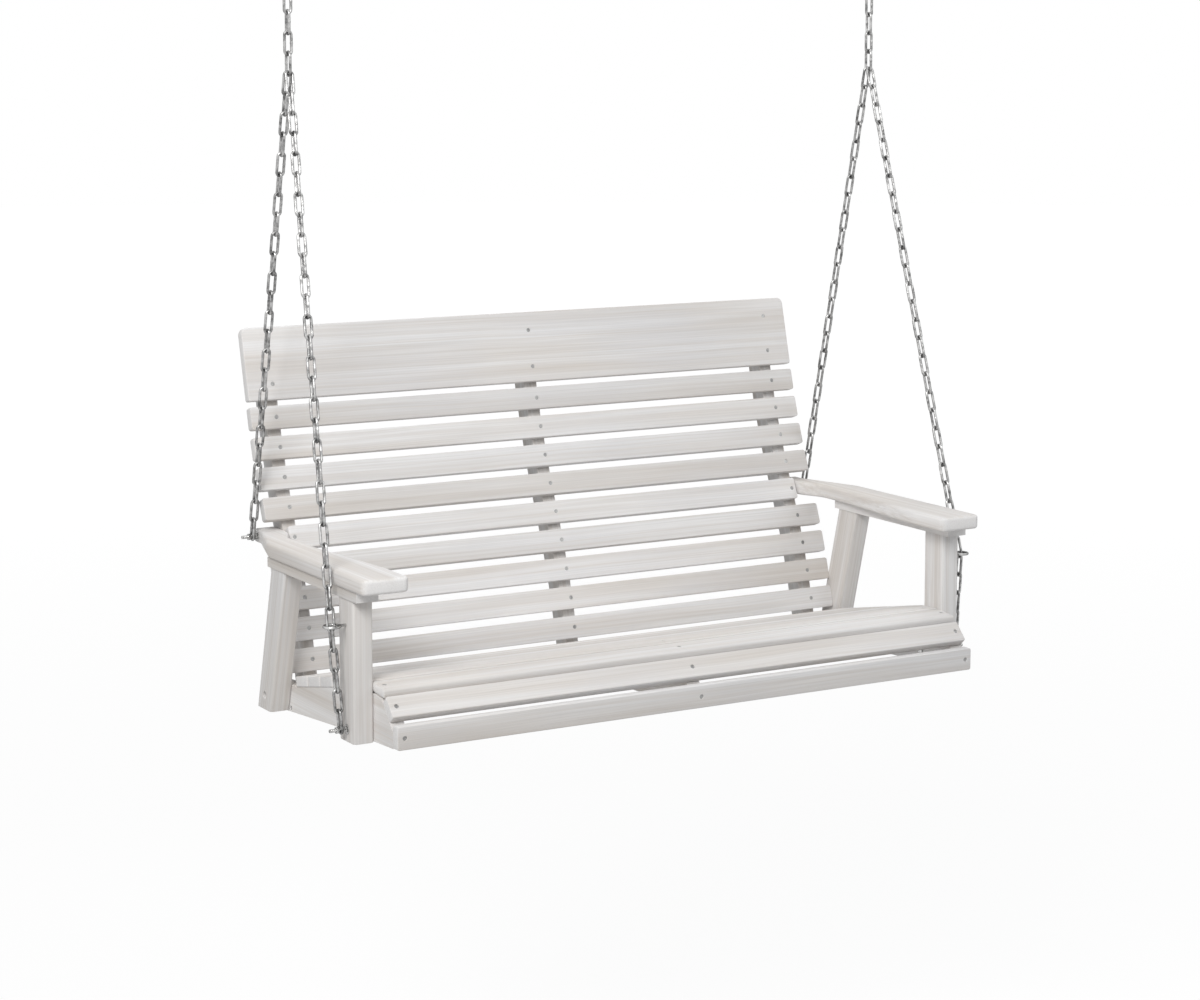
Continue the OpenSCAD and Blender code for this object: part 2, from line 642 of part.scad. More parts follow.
eye_bite = 28;                                // shank in the post
module eye_screw(s) color(steel) in_seat() side(s) translate([0, front_bolt_y, eye_z]) {
    translate([eye_x, 0, 0]) rotate_extrude() translate([eye_r, 0]) circle(d = eye_wire);
    translate([post_out - eye_bite, 0, 0]) rotate([0, 90, 0])
        cylinder(d = eye_wire, h = eye_x - eye_r - post_out + eye_bite);
}
module eye_screw_left() eye_screw(-1);
module eye_screw_right() eye_screw(1);

// ---------------------------------------------------------------- fasteners
module at(p) translate([0, p[0], p[1]]) children();
rear_yz = [chain_rear[1], chain_rear[2]];
front_yz = [chain_front[1], chain_front[2]];
stile_in = stile_out - frame_t;
rail_in = half_w - frame_t;
tail_out = stile_out + arm_tail_w;
head_t = 4.2;
post_bolt_x = post_out - cb_depth;
post_bolt_tip = rail_in - washer_t - nut_t - 3;
module chain_bolts() color(steel) in_seat() for (s = [-1, 1]) side(s) {
    at(rear_yz) { hex_at(stile_in - head_t, head_t); rod(stile_in - eps, rear_tip); }
    at(front_yz) { hex_at(rail_in - head_t, head_t); rod(rail_in - eps, front_tip); }
}
module post_bolts() color(steel) in_seat() for (s = [-1, 1]) side(s)
    at(rear_bolt) { hex_at(post_bolt_x, head_t); rod(post_bolt_tip, post_bolt_x + eps); }
module bolt_nuts() color(steel) in_seat() for (s = [-1, 1]) side(s) {
    // one on each side of the chain link
    at(rear_yz) { nut(tail_out + washer_t, jam_t); nut(rear_chain_x + nut_in); }
    at(front_yz) { nut(post_out + washer_t, jam_t); nut(front_chain_x + nut_in); }
    at(rear_bolt) nut(rail_in - washer_t - nut_t);
}
module bolt_washers() color(steel) in_seat() for (s = [-1, 1]) side(s) {
    at(rear_yz) ring(tail_out, washer_d, washer_t);
    at(front_yz) ring(post_out, washer_d, washer_t);
    at(rear_bolt) ring(rail_in - washer_t, small_washer_d, washer_t);
}
module back_screws() color(steel) in_seat() back_screw_set();
module seat_screws() color(steel) in_seat() seat_screw_set();
module frame_screws() color(steel) in_seat() frame_screw_set();

// ---------------------------------------------------------------- drawn parts
crest_rail();
back_slat_1();
back_slat_2();
back_slat_3();
back_slat_4();
back_slat_5();
back_slat_6();
back_slat_7();
back_slat_8();
back_slat_9();
back_stile_left();
back_stile_center();
back_stile_right();
seat_rail_left();
seat_rail_center();
seat_rail_right();
seat_back_rail();
seat_slat_1();
seat_slat_2();
seat_slat_3();
seat_slat_4();
seat_slat_5();
seat_slat_6();
seat_slat_7();
front_roll_slat();
front_apron();
front_post_left();
front_post_right();
rear_post_left();
rear_post_right();
arm_cleat_left();
arm_cleat_right();
armrest_left();
armrest_right();
ceiling_hook_left();
ceiling_hook_right();
top_link_left();
top_link_right();
upper_chain_left();
upper_chain_right();
level_link_left();
level_link_right();
junction_link_left();
junction_link_right();
rear_leg_chain_left();
rear_leg_chain_right();
front_leg_chain_left();
front_leg_chain_right();
eye_screw_left();
eye_screw_right();
chain_bolts();
post_bolts();
bolt_nuts();
bolt_washers();
back_screws();
seat_screws();
frame_screws();
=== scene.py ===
"""Porch swing seat: rounded whitewashed boards, zinc chain and threaded hardware round the CAD frame."""
import bpy
import bmesh
import json
import math
import numpy as np
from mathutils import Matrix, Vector


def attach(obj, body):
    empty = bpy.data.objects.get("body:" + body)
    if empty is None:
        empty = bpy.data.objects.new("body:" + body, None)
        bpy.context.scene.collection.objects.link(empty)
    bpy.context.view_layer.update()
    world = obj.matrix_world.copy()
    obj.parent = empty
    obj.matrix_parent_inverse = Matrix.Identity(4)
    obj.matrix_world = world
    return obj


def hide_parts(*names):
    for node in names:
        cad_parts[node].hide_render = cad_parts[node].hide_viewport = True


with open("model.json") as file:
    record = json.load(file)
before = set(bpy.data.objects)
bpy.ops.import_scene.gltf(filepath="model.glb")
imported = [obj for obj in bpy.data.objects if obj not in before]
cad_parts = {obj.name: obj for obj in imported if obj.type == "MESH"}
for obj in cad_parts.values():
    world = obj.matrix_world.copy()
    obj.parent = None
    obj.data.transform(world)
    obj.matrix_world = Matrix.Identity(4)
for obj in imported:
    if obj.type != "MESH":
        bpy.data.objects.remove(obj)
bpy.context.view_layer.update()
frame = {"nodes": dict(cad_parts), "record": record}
nodes = frame["nodes"]
BODY_OF = {n: b for b, ns in frame["record"]["behaviour"]["bodies"].items() for n in ns}
MM = 0.001
SMOOTH_ANGLE = math.radians(40)       # edges sharper than this stay creased
BOLT_R, HEAD_HEIGHT = 3.2 * MM, 4.2 * MM
NUT_BORE_R, WASHER_HOLE_R, WASHER_RIM = 3.0 * MM, 3.4 * MM, 0.35 * MM
BOLT_THREAD = (1.27 * MM, 0.45 * MM)  # pitch and depth
POCKET_R, POCKET_DEPTH = 7 * MM, 9 * MM
X, Y, Z = Vector((1, 0, 0)), Vector((0, 1, 0)), Vector((0, 0, 1))


# ------------------------------------------------------------ reading the frame
def vertices_of(node):
    data = nodes[node].data
    co = np.empty(len(data.vertices) * 3)
    data.vertices.foreach_get("co", co)
    return co.reshape(-1, 3)


def solids_of(node):
    """The separate solids of a node: surface centre, axes from long to short, and points of each."""
    data = nodes[node].data
    co = vertices_of(node)
    data.calc_loop_triangles()
    tri = np.empty(len(data.loop_triangles) * 3, dtype=int)
    data.loop_triangles.foreach_get("vertices", tri)
    tri = tri.reshape(-1, 3)
    _, same = np.unique(np.round(co, 6), axis=0, return_inverse=True)
    same = same.reshape(-1)
    tri = same[tri]
    label = np.arange(same.max() + 1)
    while True:
        low = label[tri].min(axis=1)
        new = label.copy()
        for k in range(3):
            np.minimum.at(new, tri[:, k], low)
        new = new[new]
        if (new == label).all():
            break
        label = new
    place = np.empty((same.max() + 1, 3))
    place[same] = co
    found = []
    for name in np.unique(label[tri[:, 0]]):
        t = tri[label[tri[:, 0]] == name]
        a, b, c = (place[t[:, k]] for k in range(3))
        area = np.linalg.norm(np.cross(b - a, c - a), axis=1)[:, None]
        mid = (a + b + c) / 3
        centre = (area * mid).sum(0) / area.sum()
        scatter = sum((area * (p - centre)).T @ (p - centre) for p in (a, b, c, mid, mid, mid))
        _, axes = np.linalg.eigh(scatter)
        pts = place[np.unique(t)]
        found.append((Vector(centre), [Vector(axes[:, k]) for k in (2, 1, 0)], pts))
    return sorted(found, key=lambda f: tuple(round(v, 4) for v in f[0]))


def hull(points):
    """Convex outline of 2-D points, anticlockwise."""
    pts = sorted(set((round(p[0], 6), round(p[1], 6)) for p in points))

    def half(run):
        out = []
        for p in run:
            while len(out) > 1 and ((out[-1][0] - out[-2][0]) * (p[1] - out[-2][1])
                                    - (out[-1][1] - out[-2][1]) * (p[0] - out[-2][0])) <= 1e-12:
                out.pop()
            out.append(p)
        return out[:-1]
    return half(pts) + half(pts[::-1])


def screw_places(node):
    """Head centre, outward direction, head radius and length of each screw of a node."""
    found = []
    for centre, (along, _, _), pts in solids_of(node):
        rel = pts - np.array(centre)
        d = rel @ np.array(along)
        off = np.linalg.norm(rel - d[:, None] * np.array(along), axis=1)
        if d[np.argmax(off)] < 0:
            along, d = -along, -d
        found.append((centre + along * d.max(), along, off.max(), d.max() - d.min()))
    return found


def tight_box(points):
    """Centre, long direction, length and width of the smallest rectangle round 2-D points."""
    ring = [Vector(p) for p in hull(points)]
    best = None
    for a, b in zip(ring, ring[1:] + ring[:1]):
        if (b - a).length < 2 * MM:
            continue
        u = (b - a).normalized()
        v = Vector((-u.y, u.x))
        us, vs = [p.dot(u) for p in ring], [p.dot(v) for p in ring]
        du, dv = max(us) - min(us), max(vs) - min(vs)
        if best is None or du * dv < best[0] - 1e-9:
            mid = u * (max(us) + min(us)) / 2 + v * (max(vs) + min(vs)) / 2
            best = (du * dv, mid, u, du, dv) if du > dv else (du * dv, mid, v, dv, du)
    return best[1:]


def side_outline(node, axis):
    """Outer outline of the flat side of a board that faces +axis, as 2-D points."""
    mesh = nodes[node].data
    keep = [k for k in range(3) if k != axis]
    top = max(v.co[axis] for v in mesh.vertices)
    seen = {}
    for poly in mesh.polygons:
        pts = [mesh.vertices[i].co for i in poly.vertices]
        if all(abs(p[axis] - top) < 1e-5 for p in pts):
            keys = [(round(p[keep[0]], 5), round(p[keep[1]], 5)) for p in pts]
            for a, b in zip(keys, keys[1:] + keys[:1]):
                if (b, a) in seen:
                    del seen[(b, a)]
                else:
                    seen[(a, b)] = True
    step = {a: b for a, b in seen}
    rings = []
    while step:
        start, here = next(iter(step.items()))
        del step[start]
        ring = [start]
        while here != start and here in step:
            ring.append(here)
            here = step.pop(here)
        rings.append(ring)
    ring = max(rings, key=lambda r: max(p[0] for p in r) - min(p[0] for p in r)
               + max(p[1] for p in r) - min(p[1] for p in r))
    tidy = []
    for i, p in enumerate(ring):
        a, b = Vector(ring[i - 1]), Vector(ring[(i + 1) % len(ring)])
        u, v = Vector(p) - a, b - Vector(p)
        if u.length > 1e-5 and abs(u.normalized().cross(v.normalized())) > 1e-3:
            tidy.append(Vector(p))
    return tidy


# ------------------------------------------------------------ making boards
board_grain = {}
pockets = {}
# the boards listed here are made lighter or darker to stand in for the light and shade that falls on them
# (painted light and shade); other boards get a tone at random
TONES_AND_SHADE = {"crest_rail_board": 0.9, "front_apron_board": 0.3, "front_roll_slat_board": 0.4,
         "seat_rail_left_board": 0.75, "seat_rail_right_board": 0.75,
         "armrest_left_board": 0.95, "armrest_right_board": 0.9,
         "rear_post_left_board": 0.0, "rear_post_right_board": 0.3, "front_post_left_board": 0.4}


def finish_piece(name, bm, material, node):
    """Turns a mesh into a named object that takes the place of one node and rides its body."""
    mesh = bpy.data.meshes.new(name)
    bmesh.ops.recalc_face_normals(bm, faces=bm.faces)
    bm.to_mesh(mesh)
    bm.free()
    mesh.materials.append(material)
    mesh.shade_smooth()
    mesh.set_sharp_from_angle(angle=SMOOTH_ANGLE)
    obj = bpy.data.objects.new(name, mesh)
    bpy.context.scene.collection.objects.link(obj)
    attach(obj, BODY_OF[node])
    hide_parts(node)
    return obj


def store_grain(count, obj, along, across, through):
    """Keeps each point's place in its board, and the board's tone, for the wood materials. The tones listed
    for some boards make them lighter or darker as painted light and shade; the other boards differ at random.
    """
    mesh = obj.data
    co = np.empty(len(mesh.vertices) * 3)
    mesh.vertices.foreach_get("co", co)
    place = co.reshape(-1, 3) @ np.array([along, across, through]).T
    place += (count * 1.73 % 7, count * 0.61 % 3, count * 0.37 % 2)
    grain = mesh.attributes.new("grain", "FLOAT_VECTOR", "POINT")
    grain.data.foreach_set("vector", place.ravel())
    tone_and_shade = mesh.attributes.new("tone_and_shade", "FLOAT", "POINT")
    # listed boards take painted light and shade as their tone, the others a random tone
    tone_and_shade.data.foreach_set("value", np.full(len(mesh.vertices), TONES_AND_SHADE.get(obj.name, count * 0.618034 % 1)))
    end = mesh.attributes.new("end_grain", "FLOAT", "FACE")
    end.data.foreach_set("value", [min(1.0, abs(face.normal.dot(along)) ** 2) for face in mesh.polygons])


def board_piece(node, bm, material, along, across, through):
    """Finishes a board and notes the directions of its grain."""
    obj = finish_piece(node + "_board", bm, material, node)
    board_grain[node] = (obj, along, across, through)
    return obj


def soften(bm, width):
    """Rounds the edges where faces meet at 25 degrees or more."""
    edges = [e for e in bm.edges if len(e.link_faces) == 2 and e.calc_face_angle(0) > math.radians(25)]
    bmesh.ops.bevel(bm, geom=edges, offset=width, segments=3, profile=0.5,
                    affect="EDGES", clamp_overlap=True, loop_slide=True)


def loft(rings):
    """A closed solid through rings of points that match one another."""
    bm = bmesh.new()
    rows = [[bm.verts.new(p) for p in ring] for ring in rings]
    for low, high in zip(rows, rows[1:]):
        for i in range(len(low)):
            k = (i + 1) % len(low)
            bm.faces.new((low[i], low[k], high[k], high[i]))
    bm.faces.new(rows[0][::-1])
    bm.faces.new(rows[-1])
    return bm


def rounded_rect(w, h, r, low=None, steps=5):
    """Outline with rounded corners; the two lower ones may have a radius of their own."""
    pts = []
    for cx, cy, a0 in ((1, 1, 0), (-1, 1, 90), (-1, -1, 180), (1, -1, 270)):
        q = low if low and cy < 0 else r
        for i in range(steps + 1):
            a = math.radians(a0 + 90 * i / steps)
            pts.append((cx * (w / 2 - q) + q * math.cos(a), cy * (h / 2 - q) + q * math.sin(a)))
    return pts


def edge_steps(thick, edge, steps=4):
    """Height through a board and inset from its outline, ring by ring, for rounded edges."""
    edge = min(edge, 0.48 * thick)
    quarter = [(edge * (1 - math.cos(a)), edge * (1 - math.sin(a)))
               for a in (math.radians(90 * i / steps) for i in range(steps + 1))]
    return quarter + [(thick - h, inset) for h, inset in quarter[::-1]]


def inset_outline(outline, inset):
    """The outline with every corner moved inwards along its mitre."""
    n = len(outline)
    area = sum(outline[i - 1].cross(outline[i]) for i in range(n))
    turn = 1.0 if area > 0 else -1.0
    moved = []
    for i, p in enumerate(outline):
        a, b = (p - outline[i - 1]).normalized(), (outline[(i + 1) % n] - p).normalized()
        na, nb = Vector((-a.y, a.x)) * turn, Vector((-b.y, b.x)) * turn
        mitre = (na + nb).normalized()
        moved.append(p + mitre * (inset / max(0.5, mitre.dot(na))))
    return moved


def slat(node, corner, edge, material, low=None):
    """A straight board along X: rounded corners in its face, softened edges."""
    co = vertices_of(node)
    mid, u, width, thick = tight_box(co[:, 1:])
    length = co[:, 0].max() - co[:, 0].min()
    u = u if u.dot(Vector((1, 0.3))) > 0 else -u
    across = Vector((0, u.x, u.y))
    normal = X.cross(across)
    centre = Vector((0, mid.x, mid.y))
    rings = []
    tight = 0.1 * MM
    for h, inset in edge_steps(thick, edge):
        face = rounded_rect(length - 2 * inset, width - 2 * inset, max(corner - inset, tight),
                            low and max(low - inset, tight))
        rings.append([centre + X * x + across * y + normal * (h - thick / 2) for x, y in face])
    return board_piece(node, loft(rings), material, X, across, normal)


def plank(node, axis, along, edge, material, rounded=False):
    """A shaped board: the outline of its flat side, run through its thickness."""
    co = vertices_of(node)
    keep = [k for k in range(3) if k != axis]
    outline = side_outline(node, axis)
    lo, hi = co[:, axis].min(), co[:, axis].max()

    def put(p, level):
        q = [0.0] * 3
        q[keep[0]], q[keep[1]], q[axis] = p.x, p.y, level
        return Vector(q)
    if rounded:
        bm = loft([[put(p, lo + h) for p in inset_outline(outline, inset)]
                   for h, inset in edge_steps(hi - lo, edge)])
    else:
        bm = loft([[put(p, lo) for p in outline], [put(p, hi) for p in outline]])
        soften(bm, edge)
    through = Vector([1.0 if k == axis else 0.0 for k in range(3)])
    return board_piece(node, bm, material, along, through.cross(along).normalized(), through)


def post(node, rounding, edge, material):
    """A post, upright or leaning, cut level at both ends."""
    co = vertices_of(node)
    z0, z1 = co[:, 2].min(), co[:, 2].max()
    ends = [co[abs(co[:, 2] - z) < 1e-5] for z in (z0, z1)]
    spans = [(e[:, 1].min(), e[:, 1].max()) for e in ends]
    x0, x1 = co[:, 0].min(), co[:, 0].max()
    wide = spans[1][1] - spans[1][0]
    plan = rounded_rect(x1 - x0, wide, rounding)
    mids = [(a + b) / 2 for a, b in spans]
    rings = [[Vector(((x0 + x1) / 2 + px, mid + py, z)) for px, py in plan]
             for mid, z in zip(mids, (z0, z1))]
    bm = loft(rings)
    rim = [e for e in bm.edges if abs(e.verts[0].co.z - e.verts[1].co.z) < 1e-6]
    bmesh.ops.bevel(bm, geom=rim, offset=edge, segments=2, profile=0.5, affect="EDGES", clamp_overlap=True)
    lean = (Vector((0, mids[1], z1)) - Vector((0, mids[0], z0))).normalized()
    return board_piece(node, bm, material, lean, X, lean.cross(X))


def sink(node):
    """Cuts the pockets noted for a board, each with a slightly flared mouth."""
    obj = board_grain[node][0]
    bm = bmesh.new()
    for centre, inward, radius, depth in pockets[node]:
        flare = 0.35 * MM
        merge(bm, turned(centre, inward, [(-2 * MM, radius + flare), (0, radius + flare), (flare, radius),
                                          (depth, radius)], 28))
    mesh = bpy.data.meshes.new("pockets")
    bmesh.ops.recalc_face_normals(bm, faces=bm.faces)
    bm.to_mesh(mesh)
    bm.free()
    cutter = bpy.data.objects.new("pockets", mesh)
    bpy.context.scene.collection.objects.link(cutter)
    cut = obj.modifiers.new("pockets", "BOOLEAN")
    cut.operation, cut.object, cut.solver = "DIFFERENCE", cutter, "EXACT"
    bpy.context.view_layer.update()
    done = bpy.data.meshes.new_from_object(obj.evaluated_get(bpy.context.evaluated_depsgraph_get()))
    obj.modifiers.clear()
    obj.data = done
    done.shade_smooth()
    done.set_sharp_from_angle(angle=SMOOTH_ANGLE)
    bpy.data.objects.remove(cutter)


# ------------------------------------------------------------ making hardware
def sweep(path, radius, sides, closed=False, radii=None, up=None):
    """A round wire along a path of points."""
    bm = bmesh.new()
    n = len(path)
    rows = []
    side_dir = up
    for i, p in enumerate(path):
        a = path[i - 1] if closed or i else path[i]
        b = path[(i + 1) % n] if closed or i < n - 1 else path[i]
        t = (b - a).normalized()
        side_dir = (side_dir - t * side_dir.dot(t)).normalized()
        other = t.cross(side_dir)
        r = radii[i] if radii else radius
        rows.append([bm.verts.new(p + (side_dir * math.cos(a2) + other * math.sin(a2)) * r)
                     for a2 in (2 * math.pi * k / sides for k in range(sides))])
    for i in range(n if closed else n - 1):
        low, high = rows[i], rows[(i + 1) % n]
        for k in range(sides):
            j = (k + 1) % sides
            bm.faces.new((low[k], low[j], high[j], high[k]))
    if not closed:
        bm.faces.new(rows[0][::-1])
        bm.faces.new(rows[-1])
    return bm


def merge(bm, extra):
    """Adds a second mesh to the first and frees the second."""
    mesh = bpy.data.meshes.new("part")
    extra.to_mesh(mesh)
    extra.free()
    bm.from_mesh(mesh)
    bpy.data.meshes.remove(mesh)


def link_loop(centre, along, wide, flat, half_len, half_wide, wire):
    """One welded chain link, drawn out slightly at its ends, with a weld on one side."""
    path, radii = [], []
    end = half_len - half_wide
    count = 10
    for turn, base in ((1, 0), (-1, 180)):
        for i in range(count + 1):
            a = math.radians(base + 180 * i / count)
            path.append(along * (turn * end + half_wide * math.sin(a)) + wide * half_wide * math.cos(a))
            radii.append(wire / 2)
        for f in (0.25, 0.42, 0.46, 0.5, 0.54, 0.58, 0.75):
            weld = turn > 0 and 0.44 < f < 0.56
            path.append(along * turn * end * (1 - 2 * f) - wide * turn * half_wide)
            radii.append(wire / 2 * (1.09 if weld else 1.0))
    return sweep([centre + p for p in path], wire / 2, 12, True, radii, flat)


def chain(node, material):
    """One wire loop for each link solid of a node."""
    bm = bmesh.new()
    for centre, (along, wide, flat), pts in solids_of(node):
        rel = pts - np.array(centre)
        long_half = abs(rel @ np.array(along)).max()
        wide_half = abs(rel @ np.array(wide)).max()
        wire = 2 * abs(rel @ np.array(flat)).max()
        merge(bm, link_loop(centre, along, wide, flat, long_half - wire / 2, wide_half - wire / 2, wire))
    return finish_piece(node + "_links", bm, material, node)


def turned(origin, axis, profile, sides=32, thread=None):
    """A turned piece from (distance, radius) pairs along an axis.

    thread = (start, stop, pitch, depth) cuts a screw thread into it.
    """
    u = axis.orthogonal().normalized()
    v = axis.cross(u)
    if thread:
        start, stop, pitch, depth = thread
        fine = []
        for (d0, r0), (d1, r1) in zip(profile, profile[1:]):
            threaded = d1 > start and d0 < stop
            steps = max(1, round((min(d1, stop) - max(d0, start)) / (pitch / 6))) if threaded else 1
            fine += [(d0 + (d1 - d0) * i / steps, r0 + (r1 - r0) * i / steps) for i in range(steps)]
        profile = fine + [profile[-1]]
    bm = bmesh.new()
    rows = []
    for d, r in profile:
        row = []
        for k in range(sides):
            a = 2 * math.pi * k / sides
            radius = r
            if thread and start <= d <= stop:
                wave = abs(((d / pitch - k / sides) % 1) * 2 - 1)
                fade = min(1, (d - start) / pitch, (stop - d) / pitch)
                radius = r - depth * wave * max(0, fade)
            row.append(bm.verts.new(origin + axis * d + (u * math.cos(a) + v * math.sin(a)) * radius))
        rows.append(row)
    for low, high in zip(rows, rows[1:]):
        for k in range(sides):
            j = (k + 1) % sides
            bm.faces.new((low[k], low[j], high[j], high[k]))
    bm.faces.new(rows[0][::-1])
    bm.faces.new(rows[-1])
    return bm


def hexagon(origin, axis, across, height, bore_r=0.0):
    """A hexagonal head or nut with chamfered corners, and a bore through it if bore_r is given."""
    u = axis.orthogonal().normalized()
    v = axis.cross(u)
    sides, corner = 48, across / math.cos(math.radians(30)) / 2
    bm = bmesh.new()

    def radius(k):
        a = math.radians((k * 360 / sides) % 60 - 30)
        return across / 2 / math.cos(a)

    def ring(d, radii):
        turns = [2 * math.pi * k / sides for k in range(sides)]
        return [bm.verts.new(origin + axis * d + (u * math.cos(a) + v * math.sin(a)) * q)
                for a, q in zip(turns, radii)]
    cham, face_r = 0.12 * across * 0.4, across / 2 * 0.94
    rows = [ring(d, [min(radius(k), cap) for k in range(sides)])
            for d, cap in ((0, face_r), (cham, corner), (height - cham, corner), (height, face_r))]
    if bore_r:
        flare, lip = bore_r * 1.12, 0.6 * MM
        rows += [ring(d, [q] * sides)
                 for d, q in ((height, flare), (height - lip, bore_r), (lip, bore_r), (0, flare))]
    pairs = list(zip(rows, rows[1:])) + ([(rows[-1], rows[0])] if bore_r else [])
    for low, high in pairs:
        for k in range(sides):
            j = (k + 1) % sides
            bm.faces.new((low[k], low[j], high[j], high[k]))
    if not bore_r:
        bm.faces.new(rows[0][::-1])
        bm.faces.new(rows[-1])
    return bm


def screw_top(origin, axis, radius):
    """A countersunk head, slightly domed, with a cross recess."""
    u = axis.orthogonal().normalized()
    v = axis.cross(u)
    bm = bmesh.new()
    sides = 32
    rows = []
    arm, reach, deep = 0.16 * radius, 0.62 * radius, 0.9 * MM
    for f in (0.0, 0.1, 0.17, 0.3, 0.45, 0.6, 0.68, 0.85, 0.95, 1.0):
        row = []
        for k in range(sides):
            a = 2 * math.pi * k / sides
            x, y = f * radius * math.cos(a), f * radius * math.sin(a)
            near, far = sorted((abs(x), abs(y)))
            inside = near < arm and far < reach
            h = 0.35 * MM * (1 - f * f) - (deep * (1 - far / reach * 0.5) if inside else 0)
            row.append((x, y, h))
        rows.append(row)
    centre = bm.verts.new(origin + axis * (rows[0][0][2]))
    rings = [[bm.verts.new(origin + u * x + v * y + axis * h) for x, y, h in row] for row in rows[1:]]
    turns = [2 * math.pi * k / sides for k in range(sides)]
    rings.append([bm.verts.new(origin + (u * math.cos(a) + v * math.sin(a)) * radius * 0.9 - axis * 1.2 * MM)
                  for a in turns])
    for k in range(sides):
        bm.faces.new((centre, rings[0][k], rings[0][(k + 1) % sides]))
    for low, high in zip(rings, rings[1:]):
        for k in range(sides):
            j = (k + 1) % sides
            bm.faces.new((low[k], high[k], high[j], low[j]))
    return bm


# ------------------------------------------------------------ materials
def new_group(name, inputs, outputs):
    tree = bpy.data.node_groups.new(name, "ShaderNodeTree")
    for label, kind, value in inputs:
        sock = tree.interface.new_socket(label, in_out="INPUT", socket_type=kind)
        if value is not None:
            sock.default_value = value
    for label, kind in outputs:
        tree.interface.new_socket(label, in_out="OUTPUT", socket_type=kind)
    return tree, tree.nodes.new("NodeGroupInput"), tree.nodes.new("NodeGroupOutput")


def node(tree, kind, settings=None, **values):
    made = tree.nodes.new(kind)
    for key, value in (settings or {}).items():
        setattr(made, key, value)
    for key, value in values.items():
        made.inputs[key.replace("_", " ")].default_value = value
    return made


def mix_colour(tree, factor, a, b, mode="MIX"):
    made = node(tree, "ShaderNodeMix", {"data_type": "RGBA", "blend_type": mode})
    for sock, value in ((made.inputs[0], factor), (made.inputs[6], a), (made.inputs[7], b)):
        if hasattr(value, "is_output"):
            tree.links.new(value, sock)
        else:
            sock.default_value = value
    return made.outputs[2]


def calc(tree, op, a, b=0.0, c=None, clamp=False):
    made = node(tree, "ShaderNodeMath", {"operation": op, "use_clamp": clamp})
    for sock, value in zip(made.inputs, (a, b, c)):
        if hasattr(value, "is_output"):
            tree.links.new(value, sock)
        elif value is not None:
            sock.default_value = value
    return made.outputs[0]


def spread(tree, value, low, high, to_low=0.0, to_high=1.0):
    made = node(tree, "ShaderNodeMapRange", {"clamp": True})
    tree.links.new(value, made.inputs[0])
    for i, v in enumerate((low, high, to_low, to_high)):
        made.inputs[i + 1].default_value = v
    return made.outputs[0]


def wood_wash_group():
    """Long grain under a thin white wash."""
    tree, gin, gout = new_group("wood_wash", [
        ("Place", "NodeSocketVector", None), ("Tone_and_Shade", "NodeSocketFloat", 0.5),
        ("Wash", "NodeSocketColor", (0.7, 0.7, 0.7, 1)), ("Warm", "NodeSocketColor", (0.6, 0.55, 0.5, 1)),
        ("Cool", "NodeSocketColor", (0.6, 0.6, 0.62, 1)), ("Streaks", "NodeSocketFloat", 0.5),
        ("End", "NodeSocketFloat", 0.0)],
        [("Color", "NodeSocketColor"), ("Roughness", "NodeSocketFloat"), ("Height", "NodeSocketFloat")])
    place, tone_and_shade = gin.outputs["Place"], gin.outputs["Tone_and_Shade"]

    def noise(scale, detail, rough, source, distortion=0.0):
        stretch = node(tree, "ShaderNodeVectorMath", {"operation": "MULTIPLY"})
        tree.links.new(source, stretch.inputs[0])
        stretch.inputs[1].default_value = scale
        made = node(tree, "ShaderNodeTexNoise", {"noise_dimensions": "3D"}, Scale=1.0, Detail=detail,
                    Roughness=rough, Distortion=distortion)
        tree.links.new(stretch.outputs[0], made.inputs["Vector"])
        return made.outputs["Fac"]
    # the grain wanders slowly along the board
    wander = noise((1.6, 4.0, 4.0), 2, 0.5, place)
    bend = node(tree, "ShaderNodeCombineXYZ")
    tree.links.new(calc(tree, "MULTIPLY_ADD", wander, 0.016, -0.008), bend.inputs[1])
    moved = node(tree, "ShaderNodeVectorMath", {"operation": "ADD"})
    tree.links.new(place, moved.inputs[0])
    tree.links.new(bend.outputs[0], moved.inputs[1])
    path = moved.outputs[0]
    fine = noise((3.0, 420.0, 420.0), 3, 0.6, path)
    lines = noise((1.3, 170.0, 170.0), 4, 0.66, path, 0.3)
    bands = noise((0.7, 26.0, 26.0), 3, 0.55, path)
    blots = noise((3.2, 9.0, 9.0), 3, 0.5, path)
    lines_mask = spread(tree, lines, 0.46, 0.72)
    band_mask = spread(tree, bands, 0.40, 0.64)
    cool_mask = spread(tree, blots, 0.45, 0.75)
    # cut ends take the wash evenly
    streaks = calc(tree, "MULTIPLY", gin.outputs["Streaks"],
                   spread(tree, gin.outputs["End"], 0.1, 0.9, 1.0, 0.15))
    col = gin.outputs["Wash"]
    for mask, share, tint in ((band_mask, 1.0, "Warm"), (cool_mask, 0.7, "Cool"), (lines_mask, 0.75, "Warm")):
        amount = calc(tree, "MULTIPLY", mask, calc(tree, "MULTIPLY", streaks, share))
        col = mix_colour(tree, amount, col, gin.outputs[tint])
    fine_level = spread(tree, fine, 0.3, 0.7, 0.93, 1.045)
    # the board's tone, which for the listed boards is painted light and shade
    board_tone_and_shade = spread(tree, tone_and_shade, 0.0, 1.0, 0.94, 1.03)
    level = calc(tree, "MULTIPLY", fine_level, board_tone_and_shade)
    grey = node(tree, "ShaderNodeCombineColor")
    for k in range(3):
        tree.links.new(level, grey.inputs[k])
    col = mix_colour(tree, 1.0, col, grey.outputs[0], "MULTIPLY")
    tree.links.new(col, gout.inputs["Color"])
    rough = calc(tree, "ADD", spread(tree, lines, 0.4, 0.7, 0.0, 0.12),
                 spread(tree, fine, 0.3, 0.7, 0.52, 0.64))
    tree.links.new(rough, gout.inputs["Roughness"])
    height = calc(tree, "ADD", calc(tree, "MULTIPLY", lines, -0.7), calc(tree, "MULTIPLY", fine, 0.45))
    tree.links.new(height, gout.inputs["Height"])
    return tree


